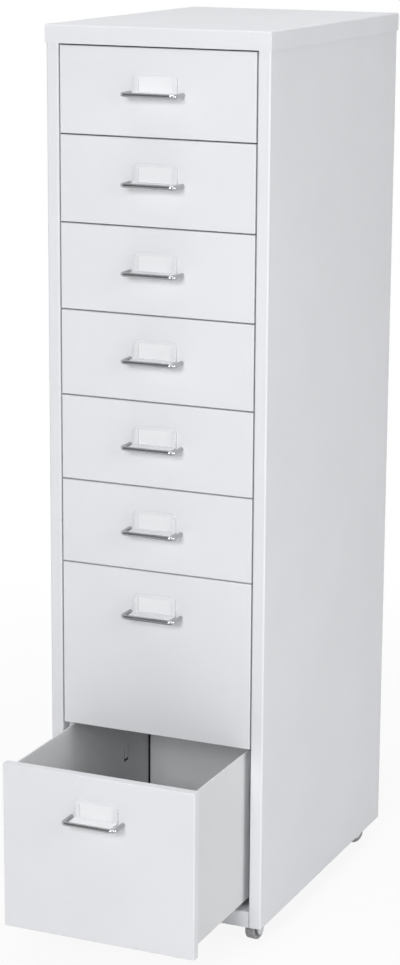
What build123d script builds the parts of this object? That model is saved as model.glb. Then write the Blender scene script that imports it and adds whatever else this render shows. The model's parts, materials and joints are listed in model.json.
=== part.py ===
from build123d import *

import os

# Rolling drawer cabinet of folded sheet steel: six shallow drawers over two tall ones, on four swivel
# casters. Lengths are millimetres. X runs to the right, Y to the back and Z up from the floor. The lowest
# drawer stands part open at rest, and the origin lies under the middle of the object in that pose.

# Carcass
WIDTH = 280.0  # over the two side panels
DEPTH = 416.0  # stile faces to back flanges
SHEET = 1.0
BEND = 2.0  # outside radius of a fold
FOOT_CLEARANCE = 24.0  # floor to the lower edge of the side panels
BASE_RAIL = 20.0
BASE_SIDE_FLANGE = 12.0
CAP_RAIL = 21.5
STILE = 15.5
STILE_RETURN = 18.0
BACK_FLANGE = 15.0
PANEL_PLAY = 0.2

# Flats that stand for the round of small repeated pieces
FLAT_COUNT = 12
WHEEL_FLAT_COUNT = 32
BEND_STEPS = 3

# Drawer stack
SMALL_DRAWER_COUNT = 6
TALL_DRAWER_COUNT = 2
SMALL_FRONT = 101.0
TALL_FRONT = 203.6
FRONT_GAP = 1.6  # between one front and the next
SIDE_GAP = 1.5  # between a front and the stiles
REST_OPENING = 159.0  # how far the lowest drawer stands open

# Drawer front, a pan folded back on all four sides
FRONT_SHEET = 0.8
FRONT_DEPTH = 12.0
FRONT_BEND = 1.5

# Drawer box
BOX_SHEET = 0.8
BOX_INSET = 6.5  # each side of the front to the box
BOX_DROP = 4.5  # top edge of the front to the rim of the box
BOX_RISE = 9.5  # lower edge of the front to the floor of the box
BOX_LENGTH = 389.0  # front face to the outside of the back wall
HEM_HEIGHT = 7.0
HEM_FOLD = 1.0
SLIT = 2.6  # open corner beside the back wall
SLIT_START = 25.0

# Stop tongues lanced out of the box sides, and the keeper ears at their back ends
TONGUE_INSET = 68.0  # outside of the back wall to the middle of the tongue
TONGUE_WIDTH = 10.0
TONGUE_LENGTH = 19.0  # head of its slits to the foot of the hole under its lug
TONGUE_REACH = 3.6  # lug turned out of its foot
TONGUE_RELIEF = 1.8
TONGUE_HEIGHT_SHARE = 0.54  # of the height of the box side
EAR_REACH = 13.0
EAR_FOOT = 3.0

# Stop strips, angles behind the stile returns that the tongues' lugs run up against
STOP_SHEET = 1.0
STOP_LEG = 10.0
STOP_GAP = 1.8  # box side to the edge of the strip

# Runners, one channel on each side of each drawer
RUNNER_SHEET = 1.0
RUNNER_HEIGHT = 27.0
RUNNER_LEDGE = 10.0  # how far the ledge reaches under the box
RUNNER_LIP_GAP = 3.0  # upper flange to the box side
RUNNER_SETBACK = 2.0  # stile return to the front end of the runner
RUNNER_BACK_GAP = 9.0
RUNNING_GAP = 0.3

# Bent wire handle
WIRE = 5.0
HANDLE_SPACING = 66.5
HANDLE_REACH = 24.5  # panel to the middle of the bar
HANDLE_BEND = 4.0
HANDLE_DROP = 51.5  # top edge of the front to the handle
STUD = 3.4
STUD_LENGTH = 6.0
STUD_PLAY = 0.25

# Label holder above the handle
LABEL_WIDTH = 54.0
LABEL_HEIGHT = 23.5
LABEL_CORNER = 4.5
LABEL_RAIL_DROP = 4.5  # top of the holder to the top of its rails
LABEL_BACK = 1.0
LABEL_SLOT = 0.8
LABEL_LIP = 1.0
LABEL_RAIL = 5.5
LABEL_SLOT_WALL = 1.5
LEDGE_SHEET = 1.5
LEDGE_CORNER = 2.0

# Casters
WHEEL = 26.0
WHEEL_WIDTH = 12.0
WHEEL_SHOULDER = 1.2
AXLE = 5.0
AXLE_HEAD = 8.0
AXLE_HEAD_LENGTH = 1.0
AXLE_PLAY = 0.05
TRAIL = 8.0  # swivel axis to axle
CASTER_SIDE_INSET = 17.5  # outside of a side panel to a swivel axis
CASTER_END_INSET = 35.0  # front or back of the carcass to a swivel axis
FORK_SHEET = 2.5
FORK_SIDE_GAP = 0.5
FORK_END = 13.0  # rounded lower end of a leg
CROWN = 22.0
KING_PIN = 8.0
KING_PIN_HEAD = 10.0
KING_PIN_HEAD_LENGTH = 1.6
RACE = 22.0
RACE_HEIGHT = 4.0
SOCKET_PLATE = 28.0
SOCKET_PLATE_SHEET = 2.0
SOCKET_PLATE_CORNER = 3.0
SWIVEL_GAP = 0.3

# Turns in degrees, and how far each caster has swung from trailing forward
HALF_TURN = 180.0
CASTER_TURNS = {"front_left": 12.0, "front_right": -8.0, "rear_left": 25.0, "rear_right": -30.0}

CUT_OVERRUN = 1.0  # cutters reach this far past what they cut

# Places worked out from the sizes above
CAP_LAP = SHEET + PANEL_PLAY
BASE_TOP = FOOT_CLEARANCE + BASE_RAIL
SMALL_STACK = SMALL_DRAWER_COUNT * (SMALL_FRONT + FRONT_GAP)
TALL_STACK = TALL_DRAWER_COUNT * (TALL_FRONT + FRONT_GAP)
HEIGHT = BASE_TOP + FRONT_GAP + TALL_STACK + SMALL_STACK + CAP_RAIL
FRONT_Y = (REST_OPENING + HANDLE_REACH + WIRE / 2 - DEPTH - CAP_LAP) / 2
BACK_Y = FRONT_Y + DEPTH
INNER_HALF = WIDTH / 2 - SHEET
OPENING_HALF = WIDTH / 2 - STILE
FRONT_WIDTH = 2 * (OPENING_HALF - SIDE_GAP)
BOX_HALF = FRONT_WIDTH / 2 - BOX_INSET
TONGUE_SETBACK = BOX_LENGTH - TONGUE_INSET
TONGUE_STOP = STILE_RETURN + STOP_SHEET + RUNNING_GAP
TRAVEL = TONGUE_SETBACK - TONGUE_WIDTH / 2 - TONGUE_STOP  # closed to fully open
LEG_INSIDE = WHEEL_WIDTH / 2 + FORK_SIDE_GAP
CROWN_TOP = BASE_TOP - SHEET - SOCKET_PLATE_SHEET - RACE_HEIGHT - SWIVEL_GAP


def bent_sheet(points, plane, sheet, radius=0):
    """Section of a folded sheet: its outer face follows the points, with the metal on their left."""
    with BuildSketch(plane) as section:
        with BuildLine():
            if radius:
                FilletPolyline(*points, radius=radius)
            else:
                Polyline(*points)
            offset(amount=sheet, side=Side.LEFT, kind=Kind.INTERSECTION)
        make_face()
    return section.sketch


def flats_round(radius, flats=FLAT_COUNT):
    """Polygon with its flats on a circle and a flat at its foot."""
    return RegularPolygon(radius, flats, major_radius=False, rotation=HALF_TURN / flats)


def pin_round(radius):
    """Polygon with its corners on a circle, so that it turns freely in a hole."""
    return RegularPolygon(radius, FLAT_COUNT)


def mirrored(part):
    """The same piece for the other side of the cabinet."""
    return mirror(part, about=Plane.YZ)


def box_between(low, high):
    """Block between two opposite corners."""
    size = [b - a for a, b in zip(low, high)]
    return Pos(*low) * Box(*size, align=(Align.MIN, Align.MIN, Align.MIN))


def side_panel_right():
    """Outer skin folded into the stile and its return in front and into a flange at the back."""
    half = WIDTH / 2
    outline = [
        (half - STILE, FRONT_Y + STILE_RETURN),
        (half - STILE, FRONT_Y),
        (half, FRONT_Y),
        (half, BACK_Y),
        (half - BACK_FLANGE, BACK_Y),
    ]
    section = bent_sheet(outline, Plane.XY.offset(FOOT_CLEARANCE), SHEET, BEND)
    return extrude(section, amount=HEIGHT - SHEET - FOOT_CLEARANCE)


def stop_strip_right():
    """Angle inside the stile return, with one edge in the way of the drawers' tongues."""
    back = FRONT_Y + STILE_RETURN
    seat = OPENING_HALF + SHEET
    low = BASE_TOP + PANEL_PLAY
    outline = [(BOX_HALF + STOP_GAP, back), (seat, back), (seat, back - STOP_LEG)]
    section = bent_sheet(outline, Plane.XY.offset(low), STOP_SHEET)
    return extrude(section, amount=HEIGHT - CAP_RAIL - low)


def back_panel():
    """Flat sheet held against the inside of the back flanges, clear of their folds."""
    half = WIDTH / 2 - BEND - PANEL_PLAY
    back = BACK_Y - SHEET
    return box_between((-half, back - SHEET, FOOT_CLEARANCE), (half, back, HEIGHT - SHEET))


def top_cap():
    """Shallow lid whose flanges lap the outside of the carcass."""
    half = WIDTH / 2 + CAP_LAP
    low = (-half, FRONT_Y - CAP_LAP, HEIGHT - CAP_RAIL)
    high = (half, BACK_Y + CAP_LAP, HEIGHT)
    lid = box_between(low, high)
    lid = fillet(lid.faces().sort_by(Axis.Z)[-1].edges(), BEND)
    inside_low = (low[0] + SHEET, low[1] + SHEET, low[2] - CUT_OVERRUN)
    inside_high = (high[0] - SHEET, high[1] - SHEET, high[2] - SHEET)
    return lid - box_between(inside_low, inside_high)


def base_panel():
    """Floor of the carcass, folded down into the front rail, a back flange and two side flanges."""
    back = BACK_Y - 2 * SHEET
    lengthwise = [
        (back, FOOT_CLEARANCE),
        (back, BASE_TOP),
        (FRONT_Y, BASE_TOP),
        (FRONT_Y, FOOT_CLEARANCE),
    ]
    crosswise = [
        (INNER_HALF, BASE_TOP - BASE_SIDE_FLANGE),
        (INNER_HALF, BASE_TOP),
        (-INNER_HALF, BASE_TOP),
        (-INNER_HALF, BASE_TOP - BASE_SIDE_FLANGE),
    ]
    rail_section = bent_sheet(lengthwise, Plane.YZ, SHEET, BEND)
    rail = extrude(rail_section, amount=OPENING_HALF - PANEL_PLAY, both=True)
    floor_section = bent_sheet(crosswise, Plane.XZ.offset(-back), SHEET, BEND)
    floor_length = back - FRONT_Y - STILE_RETURN - PANEL_PLAY
    return rail + extrude(floor_section, amount=floor_length)


def runner_right(floor_z):
    """Channel on the side panel: a ledge under the box and a flange over the box's keeper ear."""
    ledge = floor_z - RUNNING_GAP - RUNNER_SHEET
    outline = [
        (BOX_HALF - RUNNER_LEDGE, ledge),
        (INNER_HALF, ledge),
        (INNER_HALF, ledge + RUNNER_HEIGHT),
        (BOX_HALF + RUNNER_LIP_GAP, ledge + RUNNER_HEIGHT),
    ]
    back = BACK_Y - 2 * SHEET - RUNNER_BACK_GAP
    front = FRONT_Y + STILE_RETURN + RUNNER_SETBACK
    return extrude(bent_sheet(outline, Plane.XZ.offset(-back), RUNNER_SHEET), amount=back - front)


def stud_holes(from_y, to_y, handle_z):
    """Cutters for the two handle studs."""
    hole = extrude(Plane.XZ.offset(-to_y) * flats_round(STUD / 2 + STUD_PLAY), amount=to_y - from_y)
    return [Pos(x, 0, handle_z) * hole for x in (-HANDLE_SPACING / 2, HANDLE_SPACING / 2)]


def drawer_front(height):
    """Folded pan, from its face at Y zero and its lower edge at Z zero."""
    half = FRONT_WIDTH / 2
    pan = box_between((-half, 0, 0), (half, FRONT_DEPTH, height))
    pan = fillet(pan.faces().sort_by(Axis.Y)[0].edges(), FRONT_BEND)
    inside = half - FRONT_SHEET
    pan -= box_between(
        (-inside, FRONT_SHEET, FRONT_SHEET),
        (inside, FRONT_DEPTH + CUT_OVERRUN, height - FRONT_SHEET),
    )
    return pan - stud_holes(-CUT_OVERRUN, FRONT_SHEET + CUT_OVERRUN, height - HANDLE_DROP)


def box_trough(rim):
    """Floor and sides of a box in one fold, with a hem along each rim."""
    outline = [(-BOX_HALF, rim), (-BOX_HALF, BOX_RISE), (BOX_HALF, BOX_RISE), (BOX_HALF, rim)]
    plane = Plane.XZ.offset(-BOX_LENGTH)
    section = bent_sheet(outline, plane, BOX_SHEET)
    hem_x = BOX_HALF - BOX_SHEET - HEM_FOLD / 2
    for x in (-hem_x, hem_x):
        section += plane * Pos(x, rim - HEM_HEIGHT / 2) * Rectangle(HEM_FOLD, HEM_HEIGHT)
    return extrude(section, amount=BOX_LENGTH - FRONT_SHEET)


def box_back_wall(rim):
    """Back wall with an open slit at each corner above its foot."""
    inside = BOX_HALF - BOX_SHEET
    wall_height = rim - BOX_RISE
    wall = Pos(Y=BOX_RISE + wall_height / 2) * Rectangle(2 * inside, wall_height)
    slit_height = wall_height - SLIT_START
    for side in (-1, 1):
        slit_x = side * (inside - SLIT / 2)
        wall -= Pos(slit_x, rim - slit_height / 2) * Rectangle(SLIT, slit_height)
    return extrude(Plane.XZ.offset(-BOX_LENGTH) * wall, amount=BOX_SHEET)


def stop_tongue_right(rim):
    """Cuts that free a springy tongue in the right side of the box, and the lug turned out of its foot."""
    middle = BOX_RISE + TONGUE_HEIGHT_SHARE * (rim - BOX_RISE)
    top = middle + TONGUE_LENGTH / 2
    bottom = middle - TONGUE_LENGTH / 2
    fold = bottom + TONGUE_REACH
    front = TONGUE_SETBACK - TONGUE_WIDTH / 2
    back = TONGUE_SETBACK + TONGUE_WIDTH / 2
    inner = BOX_HALF - BOX_SHEET - CUT_OVERRUN
    outer = BOX_HALF + CUT_OVERRUN
    cuts = [
        box_between((inner, front - TONGUE_RELIEF, bottom), (outer, front, top)),
        box_between((inner, front, bottom), (outer, back, fold)),
        box_between((inner, back, bottom), (outer, back + TONGUE_RELIEF, top)),
    ]
    lug_low = (BOX_HALF - BOX_SHEET, front, fold)
    return cuts, box_between(lug_low, (BOX_HALF + TONGUE_REACH, back, fold + BOX_SHEET))


def keeper_ear_right():
    """Back end of the right side turned out into the runner, so that an open drawer can't tip."""
    top = BOX_RISE - RUNNING_GAP + RUNNER_HEIGHT - 2 * RUNNER_SHEET - RUNNING_GAP
    return box_between(
        (BOX_HALF - BOX_SHEET, BOX_LENGTH - BOX_SHEET, BOX_RISE + EAR_FOOT),
        (BOX_HALF + EAR_REACH, BOX_LENGTH, top),
    )


def drawer_box(front_height):
    """Folded tray behind a front, with its stop tongues and keeper ears."""
    rim = front_height - BOX_DROP
    inside = BOX_HALF - BOX_SHEET
    back_of_front_wall = FRONT_SHEET + BOX_SHEET
    front_wall = box_between((-inside, FRONT_SHEET, BOX_RISE), (inside, back_of_front_wall, rim))
    cuts, lug = stop_tongue_right(rim)
    ear = keeper_ear_right()
    tray = box_trough(rim) + front_wall + box_back_wall(rim) - cuts - [mirrored(cut) for cut in cuts]
    tray += [lug, mirrored(lug), ear, mirrored(ear)]
    holes_to = back_of_front_wall + CUT_OVERRUN
    return tray - stud_holes(FRONT_SHEET - CUT_OVERRUN, holes_to, front_height - HANDLE_DROP)


def wire_path():
    """Route of the handle's wire, with each bend in a few short runs."""
    half = HANDLE_SPACING / 2
    corners = [(-half, 0), (-half, -HANDLE_REACH), (half, -HANDLE_REACH), (half, 0)]
    bow = FilletPolyline(*corners, radius=HANDLE_BEND)
    points = []
    for run in bow.edges():
        steps = BEND_STEPS if run.geom_type == GeomType.CIRCLE else 1
        points += [run @ (step / steps) for step in range(steps)]
    return Polyline(*points, bow @ 1)


def drawer_handle():
    """Wire bow whose ends seat on the front, with the studs that pass through it."""
    path = wire_path()
    wire = Plane(origin=path @ 0, z_dir=path % 0) * flats_round(WIRE / 2)
    handle = sweep(wire, path, transition=Transition.RIGHT)
    for end in (path @ 0, path @ 1):
        foot = Plane(origin=end, z_dir=(0, -1, 0))
        handle += extrude(foot * flats_round(STUD / 2), amount=-STUD_LENGTH)
    return handle


def label_holder():
    """Slotted card holder, from the panel face at Y zero and the handle axis at Z zero, on its ledge."""
    half = LABEL_WIDTH / 2
    plate = Pos(Y=LABEL_HEIGHT / 2) * Rectangle(LABEL_WIDTH, LABEL_HEIGHT)
    plate = fillet(plate.vertices().group_by(Axis.Y)[-1], LABEL_CORNER)
    holder = extrude(Plane.XZ * plate, amount=LABEL_BACK)
    slot_front = LABEL_BACK + LABEL_SLOT
    rail_top = LABEL_HEIGHT - LABEL_RAIL_DROP
    wall = box_between((half - LABEL_SLOT_WALL, -slot_front, 0), (half, -LABEL_BACK, rail_top))
    lip = box_between((half - LABEL_RAIL, -slot_front - LABEL_LIP, 0), (half, -slot_front, rail_top))
    rail = wall + lip
    reach = HANDLE_REACH - WIRE / 2 - RUNNING_GAP
    ledge = Pos(Y=-reach / 2) * Rectangle(LABEL_WIDTH, reach)
    ledge = chamfer(ledge.vertices().group_by(Axis.Y)[0], LEDGE_CORNER)
    return holder + [rail, mirrored(rail), extrude(ledge, amount=LEDGE_SHEET)]


def caster_socket():
    """Mounting plate, ball race and riveted king pin, about the swivel axis."""
    plate_z = BASE_TOP - SHEET - SOCKET_PLATE_SHEET
    outline = Rectangle(SOCKET_PLATE, SOCKET_PLATE)
    outline = chamfer(outline.vertices(), SOCKET_PLATE_CORNER)
    plate = extrude(Plane.XY.offset(plate_z) * outline, amount=SOCKET_PLATE_SHEET)
    pin_low = Plane.XY.offset(CROWN_TOP - FORK_SHEET - SWIVEL_GAP - KING_PIN_HEAD_LENGTH)
    pin = extrude(pin_low * pin_round(KING_PIN / 2), amount=plate_z - pin_low.origin.Z)
    head = extrude(pin_low * flats_round(KING_PIN_HEAD / 2), amount=KING_PIN_HEAD_LENGTH)
    race_low = Plane.XY.offset(CROWN_TOP + SWIVEL_GAP)
    race = extrude(race_low * flats_round(RACE / 2), amount=RACE_HEIGHT)
    return plate + [race, pin, head]


def caster_fork():
    """Crown that turns on the king pin, with two legs that trail to the axle."""
    outside = LEG_INSIDE + FORK_SHEET
    crown_half = CROWN / 2
    crown_low = CROWN_TOP - FORK_SHEET
    crown = box_between((-outside, -crown_half, crown_low), (outside, crown_half, CROWN_TOP))
    end = Pos(-TRAIL, WHEEL / 2) * flats_round(FORK_END / 2)
    shoulder = Pos(0, crown_low) * Rectangle(CROWN, FORK_SHEET)
    leg_side = make_hull(end.edges() + shoulder.edges())
    leg = extrude(Plane.YZ.offset(LEG_INSIDE) * leg_side, amount=FORK_SHEET)
    pin_hole = Plane.XY.offset(crown_low - FORK_SHEET) * flats_round(KING_PIN / 2 + AXLE_PLAY)
    axle_hole = Plane.YZ * Pos(-TRAIL, WHEEL / 2) * flats_round(AXLE / 2 + AXLE_PLAY)
    fork = crown + [leg, mirrored(leg)] - extrude(pin_hole, amount=2 * FORK_SHEET + CUT_OVERRUN)
    return fork - extrude(axle_hole, amount=outside + CUT_OVERRUN, both=True)


def caster_wheel():
    """Plain wheel with bevelled shoulders and a running bore."""
    wheel = extrude(Plane.YZ * flats_round(WHEEL / 2, WHEEL_FLAT_COUNT), amount=WHEEL_WIDTH / 2, both=True)
    sides = wheel.faces().sort_by(Axis.X)
    wheel = chamfer(sides[0].edges() + sides[-1].edges(), WHEEL_SHOULDER)
    bore = Plane.YZ * flats_round(AXLE / 2 + AXLE_PLAY)
    wheel -= extrude(bore, amount=WHEEL_WIDTH / 2 + CUT_OVERRUN, both=True)
    return Pos(0, -TRAIL, WHEEL / 2) * wheel


def caster_axle():
    """Riveted pin across the fork legs."""
    shank = LEG_INSIDE + FORK_SHEET
    pin = extrude(Plane.YZ * pin_round(AXLE / 2), amount=shank, both=True)
    head = extrude(Plane.YZ.offset(shank) * flats_round(AXLE_HEAD / 2), amount=AXLE_HEAD_LENGTH)
    return Pos(0, -TRAIL, WHEEL / 2) * (pin + [head, mirrored(head)])


def drawer_places():
    """Lower edge, front height and opening of each drawer, from the top down."""
    heights = SMALL_DRAWER_COUNT * [SMALL_FRONT] + TALL_DRAWER_COUNT * [TALL_FRONT]
    places = []
    top = HEIGHT - CAP_RAIL - FRONT_GAP
    for number, height in enumerate(heights, start=1):
        opening = REST_OPENING if number == len(heights) else 0
        places.append((top - height, height, opening))
        top -= height + FRONT_GAP
    return places


def caster_places():
    """Swivel axis of each caster in plan."""
    x = WIDTH / 2 - CASTER_SIDE_INSET
    rows = {"front": FRONT_Y + CASTER_END_INSET, "rear": BACK_Y - CASTER_END_INSET}
    sides = {"left": -x, "right": x}
    return {f"{row}_{side}": (sides[side], rows[row]) for row in rows for side in sides}


def carcass_nodes():
    """Fixed panels, runners and caster sockets."""
    side = side_panel_right()
    strip = stop_strip_right()
    runners = [runner_right(bottom + BOX_RISE) for bottom, _, _ in drawer_places()]
    sockets = [Pos(x, y) * caster_socket() for x, y in caster_places().values()]
    return {
        "side_panel_left": mirrored(side),
        "side_panel_right": side,
        "stop_strip_left": mirrored(strip),
        "stop_strip_right": strip,
        "back_panel": back_panel(),
        "top_cap": top_cap(),
        "base_panel": base_panel(),
        "runners_left": Compound(children=[mirrored(runner) for runner in runners]),
        "runners_right": Compound(children=runners),
        "caster_sockets": Compound(children=sockets),
    }


def drawer_nodes():
    """Front, box, handle and label holder of each drawer."""
    nodes = {}
    handle = drawer_handle()
    label = label_holder()
    for number, (bottom, height, opening) in enumerate(drawer_places(), start=1):
        place = Pos(0, FRONT_Y - opening, bottom)
        grip = place * Pos(Z=height - HANDLE_DROP)
        nodes[f"drawer_{number}_front"] = place * drawer_front(height)
        nodes[f"drawer_{number}_box"] = place * drawer_box(height)
        nodes[f"drawer_{number}_handle"] = grip * handle
        nodes[f"drawer_{number}_label_holder"] = grip * label
    return nodes


def caster_nodes():
    """Fork, wheel and axle of each caster."""
    nodes = {}
    pieces = {"fork": caster_fork(), "wheel": caster_wheel(), "axle": caster_axle()}
    for name, (x, y) in caster_places().items():
        place = Pos(x, y) * Rot(Z=CASTER_TURNS[name])
        for piece, solid in pieces.items():
            nodes[f"caster_{name}_{piece}"] = place * solid
    return nodes


os.makedirs("parts", exist_ok=True)
for node, solid in {**carcass_nodes(), **drawer_nodes(), **caster_nodes()}.items():
    export_step(solid, f"parts/{node}.step")
print(f"A drawer travels {TRAVEL:.1f} mm before its tongues meet the stop strips")
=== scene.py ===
import json
import math

import bmesh
import bpy
from mathutils import Matrix, Vector

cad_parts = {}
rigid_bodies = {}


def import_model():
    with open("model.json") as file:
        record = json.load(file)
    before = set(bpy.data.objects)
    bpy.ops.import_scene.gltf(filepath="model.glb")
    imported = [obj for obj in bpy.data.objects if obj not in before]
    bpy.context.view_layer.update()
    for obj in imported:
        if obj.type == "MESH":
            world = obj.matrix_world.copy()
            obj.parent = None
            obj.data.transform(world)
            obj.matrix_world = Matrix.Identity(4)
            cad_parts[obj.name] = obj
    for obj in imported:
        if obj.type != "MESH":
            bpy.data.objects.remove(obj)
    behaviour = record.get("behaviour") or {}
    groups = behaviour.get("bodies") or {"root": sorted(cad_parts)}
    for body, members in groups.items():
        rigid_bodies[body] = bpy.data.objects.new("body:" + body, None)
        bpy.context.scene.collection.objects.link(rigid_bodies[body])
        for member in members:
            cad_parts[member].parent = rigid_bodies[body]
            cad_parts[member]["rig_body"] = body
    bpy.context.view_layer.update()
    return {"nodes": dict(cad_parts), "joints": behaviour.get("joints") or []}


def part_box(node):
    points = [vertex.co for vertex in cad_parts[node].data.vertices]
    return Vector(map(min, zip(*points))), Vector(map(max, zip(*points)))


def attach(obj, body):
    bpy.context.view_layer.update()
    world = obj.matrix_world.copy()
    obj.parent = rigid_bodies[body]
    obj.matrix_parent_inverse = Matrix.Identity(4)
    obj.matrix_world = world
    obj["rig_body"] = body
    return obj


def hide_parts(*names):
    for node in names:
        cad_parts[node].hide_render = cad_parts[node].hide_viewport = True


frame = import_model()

bl_info = {
    "name": "Rolling drawer cabinet",
    "version": (1, 0, 0),
    "blender": (4, 5, 0),
    "location": "3D View > Sidebar > Cabinet",
    "description": "Paint, wire pulls, card holders and casters for a folded steel drawer cabinet",
    "category": "Object",
}

MM = 0.001
DRAWERS = range(1, 9)
CASTERS = ("front_left", "front_right", "rear_left", "rear_right")

# Limits that tell rounds from folds
SHEET_FOLD = math.radians(35.0)  # steeper edges of sheet stay sharp in the shading
WIRE_FOLD = math.radians(40.0)
FASTENER_FOLD = math.radians(32.0)
ROUNDED_FOLD = math.radians(50.0)  # steeper edges are rounded
FLAT_FOLD = math.radians(0.4)  # faces that meet at less are one
JOINED = 0.002 * MM  # corners that lie nearer are one
POLE = 0.0001 * MM  # a ring of a smaller radius is one point

# Finish of the powder coat
COAT_SPECULAR = 0.4
PEEL_WAVES = 850.0
PEEL_DEPTH = 0.12 * MM

# Sockets of a colour mix
MIX_FACTOR, MIX_FIRST, MIX_SECOND, MIX_RESULT = 0, 6, 7, 2

# Facets and proportions of the pieces that trees make
WIRE_SIDES = 28
WIRE_BEND_STEPS = 14
RIVET_SIDES = 18
SCREW_SIDES = 20
WASHER_SIDES = 24
DOME_STEPS = 5
DOME_TOP_SHARE = 0.02  # of a dome's height, near enough to its top
RECESS_SHARE = 0.56  # length of a screw's recess, of its head
RECESS_LEVEL_SHARE = 0.95  # middle of the recess cutters, of the head's height
NUT_BODY_SHARE = 0.86  # hexagon part of a nut, of its height
NUT_TOP_SHARE = 0.44  # radius of a nut's bevelled top, of its width


# Sizes and colours that a user would change


class CabinetFinish(bpy.types.PropertyGroup):
    """Colours and gloss of the cabinet's finishes."""

    paint: bpy.props.FloatVectorProperty(
        name="Paint", description="White powder coat of the carcass and fronts",
        subtype="COLOR", size=4, default=(0.80, 0.81, 0.835, 1.0), min=0.0, max=1.0)
    box_paint: bpy.props.FloatVectorProperty(
        name="Box paint", description="Powder coat of the drawer boxes and runners",
        subtype="COLOR", size=4, default=(0.76, 0.765, 0.775, 1.0), min=0.0, max=1.0)
    paint_roughness: bpy.props.FloatProperty(
        name="Paint roughness", description="Middle roughness of the satin coat",
        subtype="FACTOR", default=0.55, min=0.0, max=1.0)
    chrome: bpy.props.FloatVectorProperty(
        name="Chrome", description="Bright plating of the wire pulls",
        subtype="COLOR", size=4, default=(0.45, 0.455, 0.467, 1.0), min=0.0, max=1.0)
    plastic: bpy.props.FloatVectorProperty(
        name="Holder plastic", description="Milky moulded plastic of the card holders",
        subtype="COLOR", size=4, default=(0.87, 0.875, 0.90, 1.0), min=0.0, max=1.0)
    card: bpy.props.FloatVectorProperty(
        name="Card", description="Blank paper cards",
        subtype="COLOR", size=4, default=(0.88, 0.885, 0.90, 1.0), min=0.0, max=1.0)
    zinc: bpy.props.FloatVectorProperty(
        name="Zinc", description="Plating of the casters and fasteners",
        subtype="COLOR", size=4, default=(0.56, 0.565, 0.575, 1.0), min=0.0, max=1.0)
    wheel: bpy.props.FloatVectorProperty(
        name="Wheel", description="Grey moulded plastic of the wheels",
        subtype="COLOR", size=4, default=(0.33, 0.33, 0.335, 1.0), min=0.0, max=1.0)


class CabinetSizes(bpy.types.PropertyGroup):
    """Sizes of the pieces that are made here."""

    wire: bpy.props.FloatProperty(
        name="Wire", description="Diameter of the pull's wire",
        subtype="DISTANCE", default=5.5 * MM, min=1.0 * MM)
    bend: bpy.props.FloatProperty(
        name="Bend", description="Radius of the pull's bends at the middle of the wire",
        subtype="DISTANCE", default=5.5 * MM, min=1.0 * MM)
    stud: bpy.props.FloatProperty(
        name="Stud", description="Diameter of the studs behind the pull's feet",
        subtype="DISTANCE", default=3.4 * MM, min=1.0 * MM)
    foot_edge: bpy.props.FloatProperty(
        name="Foot edge", description="Bevel round the foot of a pull",
        subtype="DISTANCE", default=0.4 * MM, min=0.05 * MM)
    card_sheet: bpy.props.FloatProperty(
        name="Card thickness", description="Thickness of a blank card",
        subtype="DISTANCE", default=0.3 * MM, min=0.05 * MM)
    sheet_edge: bpy.props.FloatProperty(
        name="Sheet edge", description="Rounding of cut and folded sheet edges",
        subtype="DISTANCE", default=0.3 * MM, min=0.0)
    rivet: bpy.props.FloatProperty(
        name="Rivet", description="Head diameter of the rivets",
        subtype="DISTANCE", default=6.0 * MM, min=1.0 * MM)
    nut: bpy.props.FloatProperty(
        name="Nut", description="Width of the nuts across their flats",
        subtype="DISTANCE", default=7.0 * MM, min=1.0 * MM)
    screw: bpy.props.FloatProperty(
        name="Screw", description="Head diameter of the caster screws",
        subtype="DISTANCE", default=6.0 * MM, min=1.0 * MM)


class CabinetStage(bpy.types.PropertyGroup):
    """Light and view of the studio."""

    world_light: bpy.props.FloatProperty(
        name="Room light", description="Even light from all round", default=0.06, min=0.0)
    near_power: bpy.props.FloatProperty(
        name="Near right", description="Power of the soft box beside the open drawer",
        subtype="POWER", default=9.6, min=0.0)
    far_power: bpy.props.FloatProperty(
        name="Far right", description="Power of the soft box that faces the right side",
        subtype="POWER", default=15.2, min=0.0)
    front_power: bpy.props.FloatProperty(
        name="Front", description="Power of the soft box in front",
        subtype="POWER", default=113.0, min=0.0)
    top_power: bpy.props.FloatProperty(
        name="Top", description="Power of the soft box overhead",
        subtype="POWER", default=53.0, min=0.0)
    back_power: bpy.props.FloatProperty(
        name="Back", description="Power of the soft box behind on the left",
        subtype="POWER", default=48.0, min=0.0)
    azimuth: bpy.props.FloatProperty(
        name="Azimuth", description="Turn of the view to the right of the front",
        subtype="ANGLE", default=math.radians(23.815))
    elevation: bpy.props.FloatProperty(
        name="Elevation", description="How steeply the view looks down",
        subtype="ANGLE", default=math.radians(13.674))
    roll: bpy.props.FloatProperty(
        name="Roll", description="Tilt of the picture",
        subtype="ANGLE", default=math.radians(0.342))
    lens: bpy.props.FloatProperty(
        name="Lens", description="Focal length on a 36 mm sensor",
        unit="CAMERA", default=94.92, min=10.0)
    eye: bpy.props.FloatVectorProperty(
        name="Eye", description="Place of the camera",
        subtype="TRANSLATION", size=3, default=(1.2227, -2.7567, 1.2732))


# Shader nodes


def add(tree, kind, inputs=(), **settings):
    """Adds a node, sets its options, and links or sets its inputs."""
    node = tree.nodes.new(kind)
    for name, value in settings.items():
        setattr(node, name, value)
    for key, value in dict(inputs).items():
        if isinstance(value, bpy.types.NodeSocket):
            tree.links.new(value, node.inputs[key])
        else:
            node.inputs[key].default_value = value
    return node


def calc(tree, first, second, operation="MULTIPLY"):
    """One sum of two numbers in a tree."""
    return add(tree, "ShaderNodeMath", {0: first, 1: second}, operation=operation).outputs[0]


def shade(colour, share):
    """The same colour, lighter or darker."""
    return (*(min(1.0, channel * share) for channel in colour[:3]), 1.0)


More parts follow.
